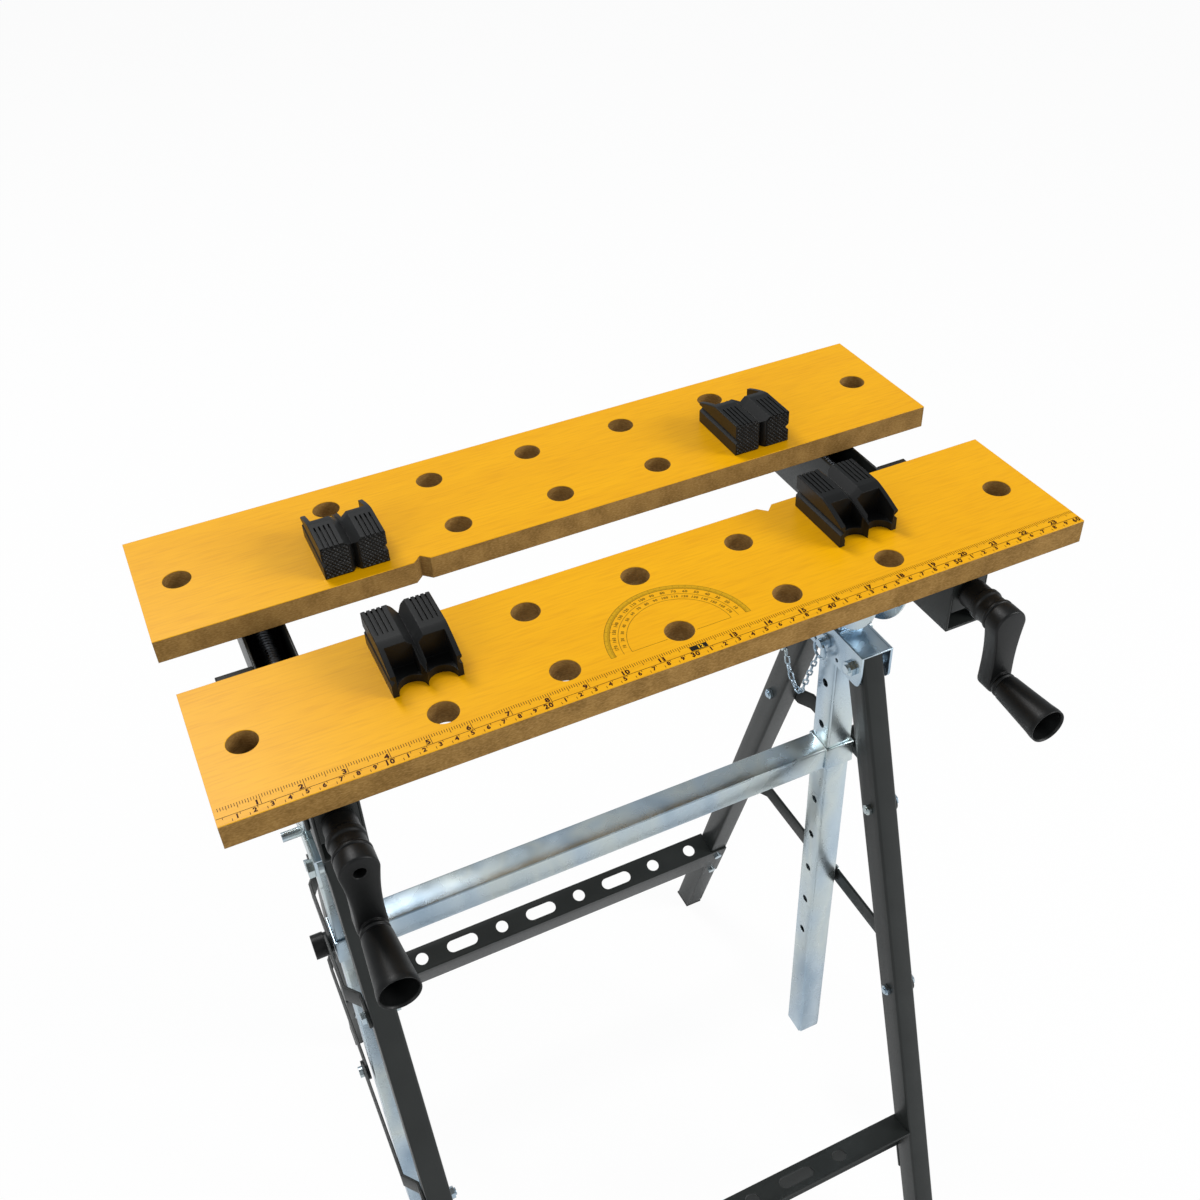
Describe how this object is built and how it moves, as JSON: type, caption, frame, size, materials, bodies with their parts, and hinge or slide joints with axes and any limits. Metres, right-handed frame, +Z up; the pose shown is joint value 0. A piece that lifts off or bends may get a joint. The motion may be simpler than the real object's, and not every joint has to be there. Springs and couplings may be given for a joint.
{
  "type": "folding_workbench",
  "caption": "Folding workbench with a yellow split worktop, vice cranks, swivel bench dogs and a pinned height-adjustable steel frame",
  "frame": {"origin": "On the floor in the middle of the footprint, under the worktop", "axes": "+X along the jaws, +Y from the cranks to the rear jaw, +Z up"},
  "size_m": [0.61, 0.5424, 0.876],
  "materials": {
    "worktop_board": "yellow melamine-faced fibreboard with bare brown edges",
    "dark_painted_steel": "satin dark grey powder coat",
    "zinc_plated_steel": "bright blue zinc plating",
    "screw_steel": "oiled dark steel",
    "black_plastic": "satin moulded plastic"
  },
  "bodies": {
    "head": {"apex_bracket_left": "zinc_plated_steel", "apex_bracket_right": "zinc_plated_steel", "leg_pivot_bolts": "zinc_plated_steel", "leg_spacers": "zinc_plated_steel", "chain_left": "zinc_plated_steel", "chain_right": "zinc_plated_steel"},
    "front_frame": {"front_leg_left": "dark_painted_steel", "front_leg_right": "dark_painted_steel", "front_stretcher": "dark_painted_steel", "front_feet": "black_plastic", "front_stretcher_bolts": "zinc_plated_steel", "front_stay_bolts": "zinc_plated_steel"},
    "rear_frame": {"rear_leg_left": "dark_painted_steel", "rear_leg_right": "dark_painted_steel", "rear_stretcher": "dark_painted_steel", "rear_feet": "black_plastic", "rear_stretcher_bolts": "zinc_plated_steel", "rear_stay_bolts": "zinc_plated_steel", "chain_screws": "zinc_plated_steel"},
    "crossbar": {"crossbar": "zinc_plated_steel", "collar_left": "zinc_plated_steel", "collar_right": "zinc_plated_steel"},
    "front_upper_stays": {"upper_stay_front": "dark_painted_steel", "stay_knobs": "black_plastic"},
    "rear_upper_stays": {"upper_stay_rear": "dark_painted_steel"},
    "front_lower_stays": {"lower_stay_front": "dark_painted_steel", "stay_rivets": "zinc_plated_steel"},
    "rear_lower_stays": {"lower_stay_rear": "dark_painted_steel"},
    "carriage": {"post_left": "zinc_plated_steel", "post_right": "zinc_plated_steel", "tilt_pivot_bolts": "zinc_plated_steel", "tilt_clamp_bolts": "zinc_plated_steel"},
    "left_pin": {"lock_pin_left": "zinc_plated_steel"},
    "right_pin": {"lock_pin_right": "zinc_plated_steel"},
    "table": {"rail_left": "dark_painted_steel", "rail_right": "dark_painted_steel", "rail_plate_left": "dark_painted_steel", "rail_plate_right": "dark_painted_steel", "rail_rear_plate_left": "dark_painted_steel", "rail_rear_plate_right": "dark_painted_steel", "saddle_left": "zinc_plated_steel", "saddle_right": "zinc_plated_steel", "jaw_bracket_left": "dark_painted_steel", "jaw_bracket_right": "dark_painted_steel", "jaw_screws": "zinc_plated_steel", "front_jaw": "worktop_board"},
    "jaw": {"rear_jaw": "worktop_board", "vice_nut_left": "screw_steel", "vice_nut_right": "screw_steel"},
    "left_crank": {"screw_left": "screw_steel", "crank_left": "black_plastic"},
    "right_crank": {"screw_right": "screw_steel", "crank_right": "black_plastic"},
    "left_grip": {"crank_grip_left": "black_plastic"},
    "right_grip": {"crank_grip_right": "black_plastic"},
    "front_left_dog": {"dog_front_left": "black_plastic"},
    "front_right_dog": {"dog_front_right": "black_plastic"},
    "rear_left_dog": {"dog_rear_left": "black_plastic"},
    "rear_right_dog": {"dog_rear_right": "black_plastic"}
  },
  "joints": [
    {"name": "front_fold", "type": "hinge", "parent": "head", "child": "front_frame", "pos_m": [-0.007, -0.04966, 0.665], "axis": [1, 0, 0], "range_deg": [0, 17.4]},
    {"name": "rear_fold", "type": "hinge", "parent": "head", "child": "rear_frame", "pos_m": [-0.007, 0.02634, 0.665], "axis": [1, 0, 0], "range_deg": [-19.2, 0]},
    {"name": "crossbar_slide", "type": "slide", "parent": "head", "child": "crossbar", "axis": [0, 0, 1], "range_m": [0, 0.066]},
    {"name": "front_upper_stay_fold", "type": "hinge", "parent": "front_frame", "child": "front_upper_stays", "pos_m": [-0.007, -0.09149, 0.5315], "axis": [1, 0, 0], "range_deg": [0, 44.2]},
    {"name": "rear_upper_stay_fold", "type": "hinge", "parent": "rear_frame", "child": "rear_upper_stays", "pos_m": [-0.007, 0.07283, 0.5315], "axis": [1, 0, 0], "range_deg": [-44, 0]},
    {"name": "front_lower_stay_fold", "type": "hinge", "parent": "front_frame", "child": "front_lower_stays", "pos_m": [-0.007, -0.15088, 0.342], "axis": [1, 0, 0], "range_deg": [0, 57]},
    {"name": "rear_lower_stay_fold", "type": "hinge", "parent": "rear_frame", "child": "rear_lower_stays", "pos_m": [-0.007, 0.13882, 0.342], "axis": [1, 0, 0], "range_deg": [-56.4, 0]},
    {"name": "height", "type": "slide", "parent": "head", "child": "carriage", "axis": [0, 0, 1], "range_m": [0, 0.3]},
    {"name": "left_pin_pull", "type": "slide", "parent": "head", "child": "left_pin", "axis": [1, 0, 0], "range_m": [0, 0.075]},
    {"name": "right_pin_pull", "type": "slide", "parent": "head", "child": "right_pin", "axis": [-1, 0, 0], "range_m": [0, 0.075]},
    {"name": "table_tilt", "type": "hinge", "parent": "carriage", "child": "table", "pos_m": [-0.007, -0.01166, 0.752], "axis": [1, 0, 0], "range_deg": [-30, 30]},
    {"name": "jaw_slide", "type": "slide", "parent": "table", "child": "jaw", "axis": [0, 1, 0], "range_m": [-0.057, 0.045]},
    {"name": "left_crank_turn", "type": "hinge", "parent": "table", "child": "left_crank", "pos_m": [-0.235, -0.01166, 0.813], "axis": [0, 1, 0], "range_deg": [-3240, 4104]},
    {"name": "right_crank_turn", "type": "hinge", "parent": "table", "child": "right_crank", "pos_m": [0.221, -0.01166, 0.813], "axis": [0, 1, 0], "range_deg": [-3240, 4104]},
    {"name": "left_grip_turn", "type": "hinge", "parent": "left_crank", "child": "left_grip", "pos_m": [-0.235, -0.22166, 0.763], "axis": [0, 1, 0], "continuous": true},
    {"name": "right_grip_turn", "type": "hinge", "parent": "right_crank", "child": "right_grip", "pos_m": [0.221, -0.22166, 0.763], "axis": [0, 1, 0], "continuous": true},
    {"name": "front_left_dog_turn", "type": "hinge", "parent": "table", "child": "front_left_dog", "pos_m": [-0.1575, -0.06846, 0.85], "axis": [0, 0, 1], "range_deg": [-90, 90]},
    {"name": "front_right_dog_turn", "type": "hinge", "parent": "table", "child": "front_right_dog", "pos_m": [0.1625, -0.06846, 0.85], "axis": [0, 0, 1], "range_deg": [-90, 90]},
    {"name": "rear_left_dog_turn", "type": "hinge", "parent": "jaw", "child": "rear_left_dog", "pos_m": [-0.1625, 0.04514, 0.85], "axis": [0, 0, 1], "range_deg": [-90, 90]},
    {"name": "rear_right_dog_turn", "type": "hinge", "parent": "jaw", "child": "rear_right_dog", "pos_m": [0.1575, 0.04514, 0.85], "axis": [0, 0, 1], "range_deg": [-90, 90]}
  ],
  "couplings": [
    {"joint": "rear_fold", "follows": "front_fold", "ratio": -1.1034},
    {"joint": "crossbar_slide", "follows": "front_fold", "m_per_rad": 0.2157},
    {"joint": "front_upper_stay_fold", "follows": "front_fold", "ratio": 2.534},
    {"joint": "rear_upper_stay_fold", "follows": "front_fold", "ratio": -2.523},
    {"joint": "front_lower_stay_fold", "follows": "front_fold", "ratio": 3.264},
    {"joint": "rear_lower_stay_fold", "follows": "front_fold", "ratio": -3.23},
    {"joint": "left_crank_turn", "follows": "jaw_slide", "rad_per_m": -1256.6},
    {"joint": "right_crank_turn", "follows": "jaw_slide", "rad_per_m": -1256.6}
  ]
}
